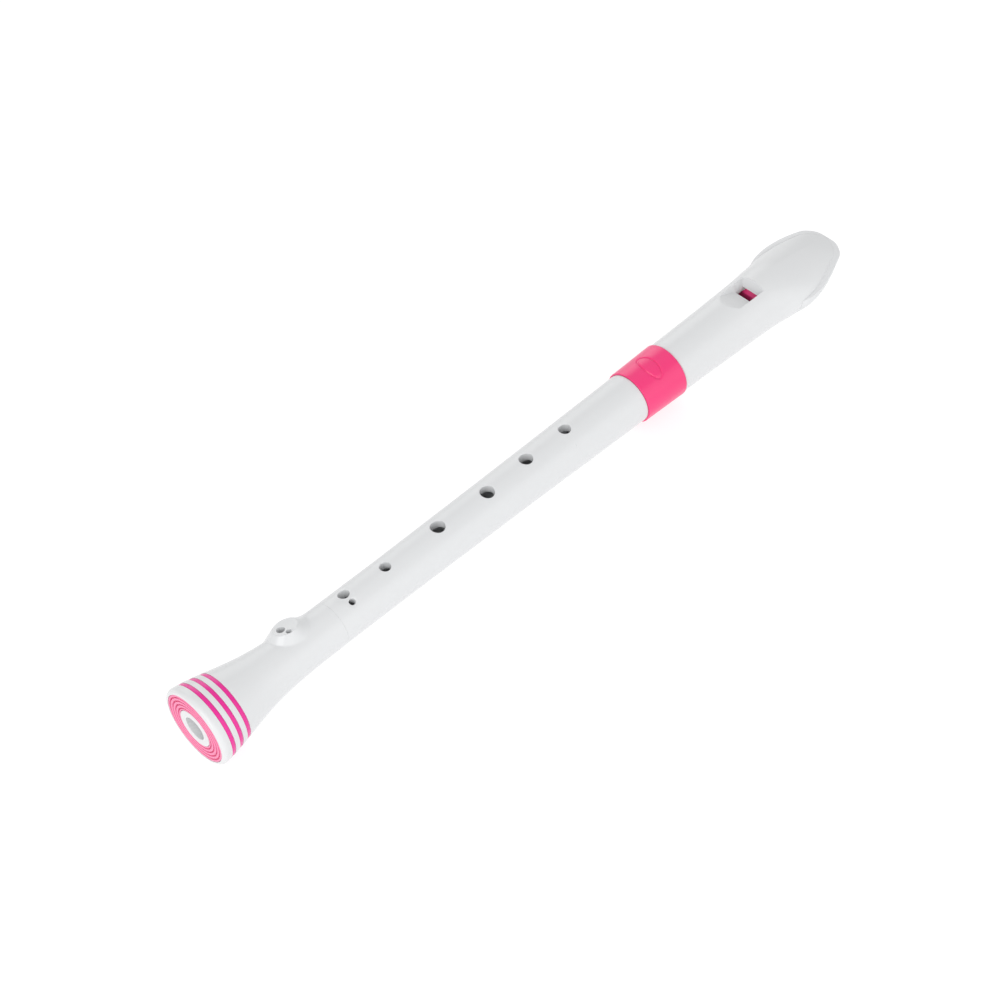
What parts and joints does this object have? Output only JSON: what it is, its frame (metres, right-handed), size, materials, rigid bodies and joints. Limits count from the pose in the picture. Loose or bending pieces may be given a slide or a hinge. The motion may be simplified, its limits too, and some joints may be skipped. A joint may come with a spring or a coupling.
{
  "type": "soprano recorder",
  "caption": "Plastic soprano recorder with a duck-bill beak, a coloured centre ring and a flared, banded foot; head, middle and foot joints turn and pull apart, and the lip plate unclips.",
  "frame": {"origin": "centre of the bounding box's footprint, on the surface that the foot's rim rests on", "axes": "+X along the bore from the foot to the mouth, +Z to the tone holes, +Y to the player's right hand"},
  "size_m": [0.3286, 0.032, 0.032],
  "materials": {
    "white_plastic": "satin-gloss moulded white",
    "pink_plastic": "satin moulded pink",
    "cap_plastic": "satin moulded pink with turned grooves",
    "seal_rubber": "smooth grey elastomer"
  },
  "bodies": {
    "middle": {"body_tube": "white_plastic"},
    "upper_seal": {"upper_tenon_seal": "seal_rubber"},
    "head": {"head_shell": "white_plastic", "windway_block": "pink_plastic", "centre_ring": "pink_plastic"},
    "lip": {"lip_plate": "white_plastic"},
    "lower_seal": {"lower_tenon_seal": "seal_rubber"},
    "foot": {"foot_shell": "white_plastic", "foot_end_cap": "cap_plastic", "foot_band_1": "pink_plastic", "foot_band_2": "pink_plastic", "foot_band_3": "pink_plastic"}
  },
  "joints": [
    {"name": "head_turn", "type": "hinge", "parent": "middle", "child": "upper_seal", "pos_m": [0.0677, 0, 0.016], "axis": [1, 0, 0], "continuous": true},
    {"name": "head_pull", "type": "slide", "parent": "upper_seal", "child": "head", "axis": [1, 0, 0], "range_m": [0, 0.032]},
    {"name": "lip_unclip", "type": "slide", "parent": "head", "child": "lip", "axis": [0, 0, -1], "range_m": [0, 0.014]},
    {"name": "foot_turn", "type": "hinge", "parent": "middle", "child": "lower_seal", "pos_m": [-0.1085, 0, 0.016], "axis": [1, 0, 0], "continuous": true},
    {"name": "foot_pull", "type": "slide", "parent": "lower_seal", "child": "foot", "axis": [-1, 0, 0], "range_m": [0, 0.018]}
  ]
}
